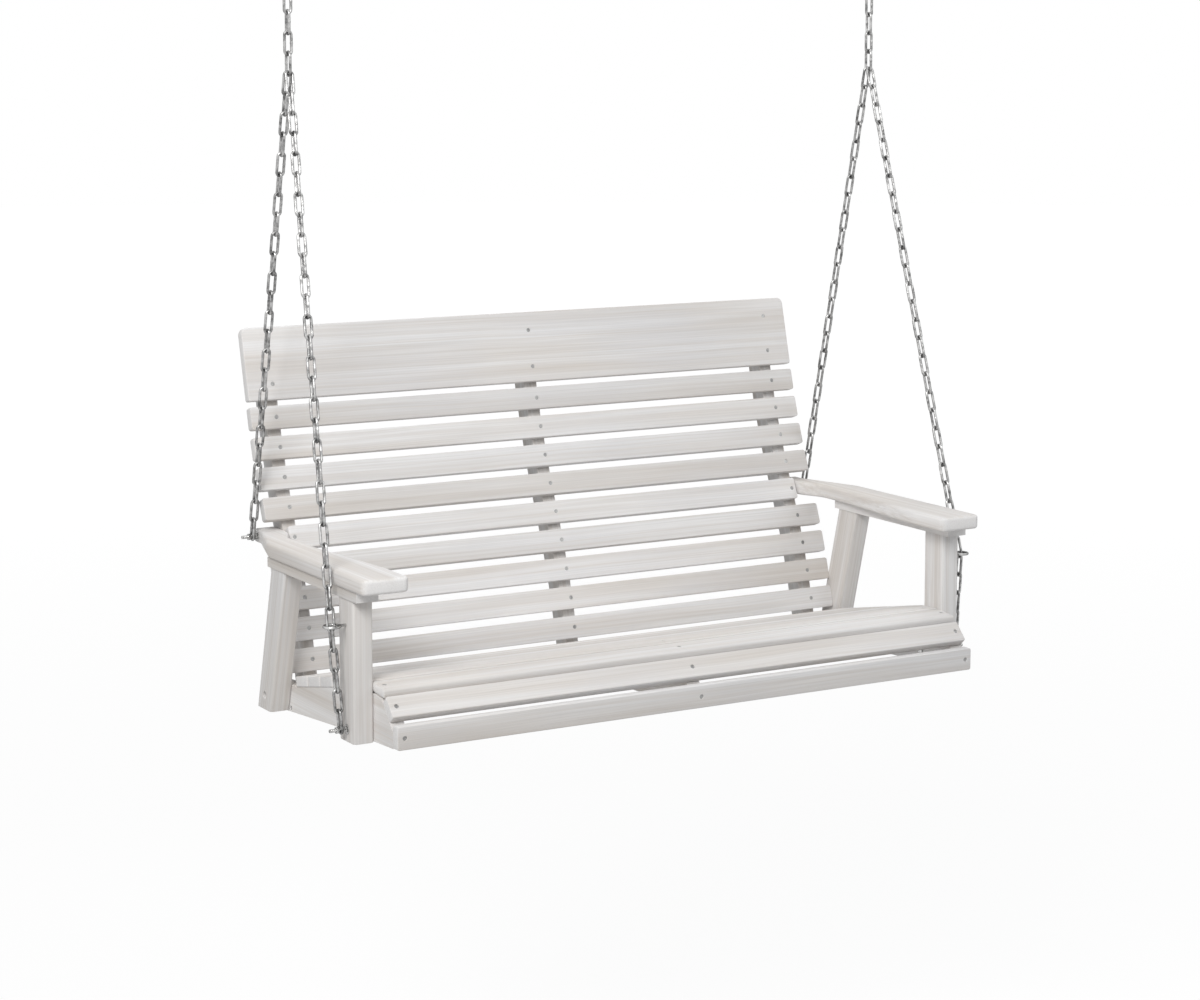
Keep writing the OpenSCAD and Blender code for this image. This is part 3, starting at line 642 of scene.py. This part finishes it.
def metal_wear_and_reflection_group():
    """Dull patches and fine specks on plated metal. The dark patches are partly wear and partly painted
    reflection, standing in for dark surroundings mirrored in the metal.
    """
    tree, gin, gout = new_group("plated_metal", [
        ("Bright", "NodeSocketColor", (0.6, 0.6, 0.6, 1)), ("Dull_and_Reflection", "NodeSocketColor", (0.4, 0.4, 0.4, 1)),
        ("Patch Size", "NodeSocketFloat", 60.0), ("Polish", "NodeSocketFloat", 0.0)],
        [("Color", "NodeSocketColor"), ("Roughness", "NodeSocketFloat"), ("Height", "NodeSocketFloat")])
    coord = node(tree, "ShaderNodeTexCoord")
    patch = node(tree, "ShaderNodeTexNoise", None, Detail=4.0, Roughness=0.6)
    speck = node(tree, "ShaderNodeTexNoise", None, Scale=1400.0, Detail=2.0)
    tree.links.new(coord.outputs["Object"], patch.inputs["Vector"])
    tree.links.new(coord.outputs["Object"], speck.inputs["Vector"])
    tree.links.new(gin.outputs["Patch Size"], patch.inputs["Scale"])
    # dark patches: partly wear, partly painted reflection
    mask = spread(tree, patch.outputs["Fac"], 0.38, 0.66)
    col = mix_colour(tree, mask, gin.outputs["Bright"], gin.outputs["Dull_and_Reflection"])
    tree.links.new(col, gout.inputs["Color"])
    rough = calc(tree, "ADD", spread(tree, patch.outputs["Fac"], 0.3, 0.7, 0.24, 0.40),
                 spread(tree, speck.outputs["Fac"], 0.3, 0.7, -0.04, 0.05))
    tree.links.new(calc(tree, "SUBTRACT", rough, gin.outputs["Polish"]), gout.inputs["Roughness"])
    tree.links.new(speck.outputs["Fac"], gout.inputs["Height"])
    return tree


WOOD_WASH = wood_wash_group()
PLATED_METAL = metal_wear_and_reflection_group()


def surface(name, group, sockets, metallic, bump_strength, bump_depth, attributes=()):
    mat = bpy.data.materials.new(name)
    mat.use_nodes = True
    tree = mat.node_tree
    tree.nodes.clear()
    shader = node(tree, "ShaderNodeBsdfPrincipled", None, Metallic=metallic)
    out = node(tree, "ShaderNodeOutputMaterial")
    effect = node(tree, "ShaderNodeGroup", {"node_tree": group})
    for key, value in sockets.items():
        effect.inputs[key].default_value = value
    for key, attribute, output in attributes:
        source = node(tree, "ShaderNodeAttribute", {"attribute_name": attribute})
        tree.links.new(source.outputs[output], effect.inputs[key])
    bump = node(tree, "ShaderNodeBump", None, Strength=bump_strength, Distance=bump_depth)
    tree.links.new(effect.outputs["Color"], shader.inputs["Base Color"])
    tree.links.new(effect.outputs["Roughness"], shader.inputs["Roughness"])
    tree.links.new(effect.outputs["Height"], bump.inputs["Height"])
    tree.links.new(bump.outputs["Normal"], shader.inputs["Normal"])
    tree.links.new(shader.outputs[0], out.inputs["Surface"])
    return mat, shader


def washed_wood(name, wash, warm, cool, streaks):
    mat, shader = surface(name, WOOD_WASH,
                          {"Wash": (*wash, 1), "Warm": (*warm, 1), "Cool": (*cool, 1), "Streaks": streaks},
                          0.0, 0.35, 0.4 * MM,
                          [("Place", "grain", "Vector"), ("Tone_and_Shade", "tone_and_shade", "Fac"),
                           ("End", "end_grain", "Fac")])
    shader.inputs["Specular IOR Level"].default_value = 0.3
    return mat


def plated(name, bright, dull_and_reflection, patch, polish, rim):
    mat, shader = surface(name, PLATED_METAL,
                          {"Bright": (*bright, 1), "Dull_and_Reflection": (*dull_and_reflection, 1), "Patch Size": patch, "Polish": polish},
                          1.0, 0.15, 0.05 * MM)
    shader.inputs["Specular Tint"].default_value = (rim, rim, rim, 1)
    return mat


slat_wood = washed_wood("slat_wood", (0.81, 0.802, 0.80), (0.63, 0.585, 0.54), (0.69, 0.688, 0.705), 0.75)
frame_wood = washed_wood("frame_wood", (0.84, 0.83, 0.825), (0.60, 0.55, 0.50), (0.71, 0.708, 0.72), 0.7)
# the chain's near-black patches are partly wear and partly painted reflection of dark surroundings
chain_zinc = plated("chain_zinc", (0.50, 0.498, 0.495), (0.13, 0.13, 0.13), 80.0, -0.04, 0.2)
bolt_zinc = plated("bolt_zinc", (0.60, 0.598, 0.59), (0.26, 0.26, 0.258), 80.0, 0.08, 0.3)
# the screws outside the back take a darker copy of the same screw finish: painted shade
pale_screw = plated("pale_screw", (0.44, 0.44, 0.435), (0.30, 0.30, 0.30), 90.0, -0.2, 0.5)
shaded_screw = plated("shaded_screw", (0.36, 0.36, 0.355), (0.22, 0.22, 0.22), 90.0, -0.08, 0.7)

# ------------------------------------------------------------ boards
slat("crest_rail", 12 * MM, 2 * MM, slat_wood, 4 * MM)
for k in range(1, 10):
    slat(f"back_slat_{k}", 5 * MM, 1.5 * MM, slat_wood)
for k in range(1, 8):
    slat(f"seat_slat_{k}", 3 * MM, (1.8 if k < 7 else 6.5) * MM, slat_wood)
slat("front_roll_slat", 3 * MM, 2 * MM, slat_wood)
slat("front_apron", 4 * MM, 2 * MM, slat_wood)
slat("seat_back_rail", 1.5 * MM, 1.5 * MM, frame_wood)
for side in ("left", "center", "right"):
    plank("back_stile_" + side, 0, Vector((0, 0.3, 0.954)).normalized(), 3 * MM, frame_wood)
    plank("seat_rail_" + side, 0, Y, 2.5 * MM, frame_wood)
for side in ("left", "right"):
    plank("armrest_" + side, 2, Y, 6 * MM, frame_wood, rounded=True)
    plank("arm_cleat_" + side, 2, Y, 2 * MM, frame_wood)
    post("front_post_" + side, 5 * MM, 1.2 * MM, frame_wood)
    post("rear_post_" + side, 5 * MM, 1.2 * MM, frame_wood)


extents = {name: (vertices_of(name).min(axis=0), vertices_of(name).max(axis=0)) for name in board_grain}


def note_pocket(point, inward, radius, depth):
    """Gives a pocket to the board that holds the point just under its mouth."""
    probe = np.array(point + inward * 3 * MM)
    for name, (low, high) in extents.items():
        if (low <= probe).all() and (probe <= high).all():
            pockets.setdefault(name, []).append((point, inward, radius, depth))
            return


# bolt heads sit in deep round pockets in the rear posts
for name in ("rear_post_left", "rear_post_right"):
    side_x = max(vertices_of(name)[:, 0], key=abs)
    bolt = [s for s in solids_of("post_bolts") if s[0].x * side_x > 0][0]
    y, z = ((bolt[2][:, k].max() + bolt[2][:, k].min()) / 2 for k in (1, 2))
    pockets[name] = [(Vector((side_x, y, z)), X * (-1 if side_x > 0 else 1), POCKET_R, POCKET_DEPTH)]
# screw heads sit a little below the wood, those of the seat deeper
SUNK = {"back_screws": 1.1 * MM, "seat_screws": 1.4 * MM, "frame_screws": 1.2 * MM}
for group, sunk in SUNK.items():
    for top, along, radius, _ in screw_places(group):
        note_pocket(top, -along, radius + 0.3 * MM, sunk + 1.5 * MM)
for name in pockets:
    sink(name)
for count, (obj, *grain) in enumerate(board_grain.values(), 1):
    store_grain(count, obj, *grain)

# ------------------------------------------------------------ chain and hooks
for side in ("left", "right"):
    for part in ("top_link", "upper_chain", "level_link", "junction_link",
                 "rear_leg_chain", "front_leg_chain"):
        chain(f"{part}_{side}", chain_zinc)


def ceiling_hook(node):
    """Bent wire hook with a threaded, pointed shank."""
    co = vertices_of(node)
    sign = 1 if co[:, 0].mean() > 0 else -1
    wire = co[:, 1].max() - co[:, 1].min()
    shank = co[co[:, 2] > -1e-4]
    shank_x = (shank[:, 0].max() + shank[:, 0].min()) / 2
    low = co[:, 2].min() + wire / 2
    outside = (abs(co[:, 0]).max(), abs(co[:, 0]).min())
    r = (outside[0] - outside[1] - wire) / 2
    bowl_x = sign * (outside[0] + outside[1]) / 2
    bend = abs(shank_x - bowl_x)
    bowl_z = low + r
    path = [Vector((shank_x, 0, z)) for z in (-0.001, -0.006, -0.012)]
    path += [Vector((bowl_x + sign * bend * math.cos(a), 0, bowl_z + r + bend - bend * math.sin(a)))
             for a in (math.radians(i * 9) for i in range(11))]
    path += [Vector((bowl_x - sign * r * math.sin(a), 0, bowl_z + r * math.cos(a)))
             for a in (math.radians(i * 9) for i in range(1, 31))]
    radii = [wire / 2] * (len(path) - 2) + [wire / 2 * 0.96, wire / 2 * 0.86]
    bm = sweep(path, wire / 2, 20, False, radii, Y)
    top = co[:, 2].max()
    merge(bm, turned(Vector((shank_x, 0, -0.001)), Z,
                     [(0, wire / 2), (0.004, wire / 2), (top - 0.008, wire / 2 * 0.98),
                      (top - 0.001, wire / 2 * 0.45), (top + 0.001, 0.3 * MM)],
                     24, (0.005, top - 0.003, 2.4 * MM, 0.7 * MM)))
    return finish_piece(node + "_steel", bm, bolt_zinc, node)


def eye(node):
    """Eye screw: a bent ring closed against its threaded shank."""
    co = vertices_of(node)
    sign = 1 if co[:, 0].mean() > 0 else -1
    wire = co[:, 2].max() - co[:, 2].min()
    ring_y = (co[:, 1].max() + co[:, 1].min()) / 2
    z = (co[:, 2].max() + co[:, 2].min()) / 2
    r = (co[:, 1].max() - co[:, 1].min() - wire) / 2
    far = abs(co[:, 0]).max()
    near = abs(co[:, 0]).min()
    centre = Vector((sign * (far - wire / 2 - r), ring_y, z))
    path = []
    for i in range(49):
        a = math.radians(184 + 347 * i / 48)
        path.append(centre + Vector((sign * r * math.cos(a), r * math.sin(a), 0)))
    bm = sweep(path, wire / 2, 16, False, None, Z)
    start = Vector((sign * near, ring_y, z))
    reach = abs(centre.x) - r - near
    merge(bm, turned(start, X * sign,
                     [(0, 0.4 * MM), (0.003, wire / 2), (reach, wire / 2), (reach + 0.001, wire / 2)],
                     20, (0.003, reach - 0.012, 1.8 * MM, 0.5 * MM)))
    return finish_piece(node + "_steel", bm, bolt_zinc, node)


for side in ("left", "right"):
    ceiling_hook("ceiling_hook_" + side)
    eye("eye_screw_" + side)



# ------------------------------------------------------------ bolts, nuts, washers and screws
def across_bolt(pts):
    """Middle line of a bolt, nut or washer that lies along X, and its width across flats."""
    (y0, z0), (y1, z1) = pts[:, 1:].min(axis=0), pts[:, 1:].max(axis=0)
    return Vector((0, (y1 + y0) / 2, (z1 + z0) / 2)), min(y1 - y0, z1 - z0)


def bolts(node, threaded):
    """Hexagon bolts along X, with the last stretch threaded."""
    bm = bmesh.new()
    shank_in = HEAD_HEIGHT - 0.1 * MM   # the shank starts inside the head
    for centre, _, pts in solids_of(node):
        out = X * (1 if centre.x > 0 else -1)
        lo, hi = abs(pts[:, 0]).min(), abs(pts[:, 0]).max()
        yz, across = across_bolt(pts)
        head_in = abs(pts[np.argmax(abs(pts[:, 1] - yz.y) + abs(pts[:, 2] - yz.z)), 0]) < (lo + hi) / 2
        if head_in:
            merge(bm, hexagon(yz + out * lo, out, across, HEAD_HEIGHT))
            start, way = yz + out * (lo + shank_in), out
        else:
            merge(bm, hexagon(yz + out * (hi - HEAD_HEIGHT), out, across, HEAD_HEIGHT))
            start, way = yz + out * (hi - shank_in), -out
        length = hi - lo - shank_in
        merge(bm, turned(start, way, [(0, BOLT_R), (length - 0.8 * MM, BOLT_R), (length, BOLT_R * 0.8)], 24,
                         (length - threaded, length - 0.4 * MM, *BOLT_THREAD)))
    return finish_piece(node + "_steel", bm, bolt_zinc, node)


def nuts(node):
    """Hexagon nuts with a bore."""
    bm = bmesh.new()
    for _, _, pts in solids_of(node):
        lo, hi = pts[:, 0].min(), pts[:, 0].max()
        yz, across = across_bolt(pts)
        merge(bm, hexagon(yz + X * lo, X, across, hi - lo, NUT_BORE_R))
    return finish_piece(node + "_steel", bm, bolt_zinc, node)


def washers(node):
    """Flat washers with softened rims."""
    bm = bmesh.new()
    for centre, _, pts in solids_of(node):
        lo, hi = pts[:, 0].min(), pts[:, 0].max()
        yz = Vector((0, centre.y, centre.z))
        outer = (pts[:, 1].max() - pts[:, 1].min()) / 2
        t, hole, rim = hi - lo, WASHER_HOLE_R, WASHER_RIM
        ring = [(rim, outer), (0, outer - rim), (0, hole + rim), (rim, hole),
                (t - rim, hole), (t, hole + rim), (t, outer - rim), (t - rim, outer)]
        one = bmesh.new()
        sides = 40
        rows = [[one.verts.new(yz + X * (lo + d) + Y * r * math.cos(a) + Z * r * math.sin(a))
                 for a in (2 * math.pi * k / sides for k in range(sides))] for d, r in ring]
        for low, high in zip(rows, rows[1:] + rows[:1]):
            for k in range(sides):
                j = (k + 1) % sides
                one.faces.new((low[k], low[j], high[j], high[k]))
        merge(bm, one)
    return finish_piece(node + "_steel", bm, bolt_zinc, node)


def screws(node):
    """Screw heads, with their threaded shanks in the wood."""
    bm = bmesh.new()
    sunk = SUNK[node]
    for top, along, r, length in screw_places(node):
        merge(bm, screw_top(top - along * sunk, along, r))
        merge(bm, turned(top - along * (sunk + 1.1 * MM), -along,
                         [(0, r * 0.85), (1.2 * MM, r * 0.5), (length - 8 * MM, r * 0.45),
                          (length - 3 * MM, 0.3 * MM)],
                         12, (2 * MM, length - 9 * MM, 1.8 * MM, 0.5 * MM)))
    # screws outside the back take the darker copy of the finish: painted shade
    finish = pale_screw if node == "back_screws" else shaded_screw
    return finish_piece(node + "_steel", bm, finish, node)


bolts("chain_bolts", 42 * MM)
bolts("post_bolts", 16 * MM)
nuts("bolt_nuts")
washers("bolt_washers")
for group in ("back_screws", "seat_screws", "frame_screws"):
    screws(group)

# ------------------------------------------------------------ floor, light and camera
scene = bpy.context.scene
scene.view_settings.view_transform = "Standard"


def pale_floor():
    bm = bmesh.new()
    bmesh.ops.create_circle(bm, cap_ends=True, segments=96, radius=30.0)
    mesh = bpy.data.meshes.new("floor")
    bm.to_mesh(mesh)
    bm.free()
    floor = bpy.data.objects.new("floor", mesh)
    floor.location = (0, 0, -2.3)
    scene.collection.objects.link(floor)
    mat = bpy.data.materials.new("pale_floor")
    mat.use_nodes = True
    tree = mat.node_tree
    tree.nodes.clear()
    out = node(tree, "ShaderNodeOutputMaterial")
    paint = node(tree, "ShaderNodeBsdfDiffuse", None, Color=(0.65, 0.65, 0.65, 1))
    glow = node(tree, "ShaderNodeEmission", None, Color=(1, 1, 1, 1))
    # towards its far edge the floor meets the white behind it
    place = node(tree, "ShaderNodeTexCoord")
    span = node(tree, "ShaderNodeVectorMath", {"operation": "LENGTH"})
    tree.links.new(place.outputs["Object"], span.inputs[0])
    tree.links.new(spread(tree, span.outputs["Value"], 2.5, 9.0, 1.08, 1.16), glow.inputs["Strength"])
    path = node(tree, "ShaderNodeLightPath")
    seen = calc(tree, "MAXIMUM", path.outputs["Is Camera Ray"],
                calc(tree, "MAXIMUM", path.outputs["Is Glossy Ray"], path.outputs["Is Transmission Ray"]))
    share = calc(tree, "MULTIPLY", seen, 0.85)
    blend = node(tree, "ShaderNodeMixShader")
    tree.links.new(share, blend.inputs[0])
    tree.links.new(paint.outputs[0], blend.inputs[1])
    tree.links.new(glow.outputs[0], blend.inputs[2])
    tree.links.new(blend.outputs[0], out.inputs["Surface"])
    mesh.materials.append(mat)


def white_world(level):
    world = bpy.data.worlds.new("studio")
    scene.world = world
    world.use_nodes = True
    tree = world.node_tree
    tree.nodes.clear()
    out = node(tree, "ShaderNodeOutputWorld")
    soft = node(tree, "ShaderNodeBackground", None, Color=(0.97, 0.985, 1.0, 1), Strength=level)
    white = node(tree, "ShaderNodeBackground", None, Color=(1, 1, 1, 1), Strength=1.0)
    path = node(tree, "ShaderNodeLightPath")
    seen = calc(tree, "MAXIMUM", path.outputs["Is Camera Ray"],
                calc(tree, "MAXIMUM", path.outputs["Is Glossy Ray"], path.outputs["Is Transmission Ray"]))
    blend = node(tree, "ShaderNodeMixShader")
    tree.links.new(seen, blend.inputs[0])
    tree.links.new(soft.outputs[0], blend.inputs[1])
    tree.links.new(white.outputs[0], blend.inputs[2])
    tree.links.new(blend.outputs[0], out.inputs["Surface"])


def lamp(name, place, target, size, watts, colour=(1, 1, 1)):
    data = bpy.data.lights.new(name, "AREA")
    data.shape, data.size, data.energy, data.color = "SQUARE", size, watts, colour
    obj = bpy.data.objects.new(name, data)
    obj.location = place
    obj.rotation_euler = (Vector(target) - Vector(place)).to_track_quat("-Z", "Y").to_euler()
    scene.collection.objects.link(obj)


pale_floor()
white_world(0.30)
lamp("key_lamp", (-3.6, -3.05, 2.25), (0, 0, -1.1), 2.2, 204, (1.0, 0.99, 0.975))
lamp("fill_lamp", (3.6, -2.8, 1.8), (0, 0, -1.1), 3.0, 62, (0.97, 0.985, 1.0))
lamp("top_lamp", (0.4, 0.6, 3.2), (0, 0, -1.0), 3.0, 48)


def view_camera(place, azimuth, pitch, lens_px, shift_x, shift_y):
    """Camera at a place, turned azimuth degrees from +Y towards +X and tipped pitch degrees down."""
    data = bpy.data.cameras.new("camera")
    data.sensor_fit, data.sensor_width = "HORIZONTAL", 36.0
    data.lens = lens_px / 1200 * 36.0
    data.shift_x, data.shift_y = shift_x, shift_y
    data.clip_start, data.clip_end = 0.1, 100
    cam = bpy.data.objects.new("camera", data)
    cam.location = place
    cam.rotation_euler = (math.radians(90 - pitch), 0, math.radians(-azimuth))
    scene.collection.objects.link(cam)
    scene.camera = cam


view_camera((-2.5944, -4.5095, -0.1761), 30.024, 6.889, 2750.2, -0.001, -0.11)
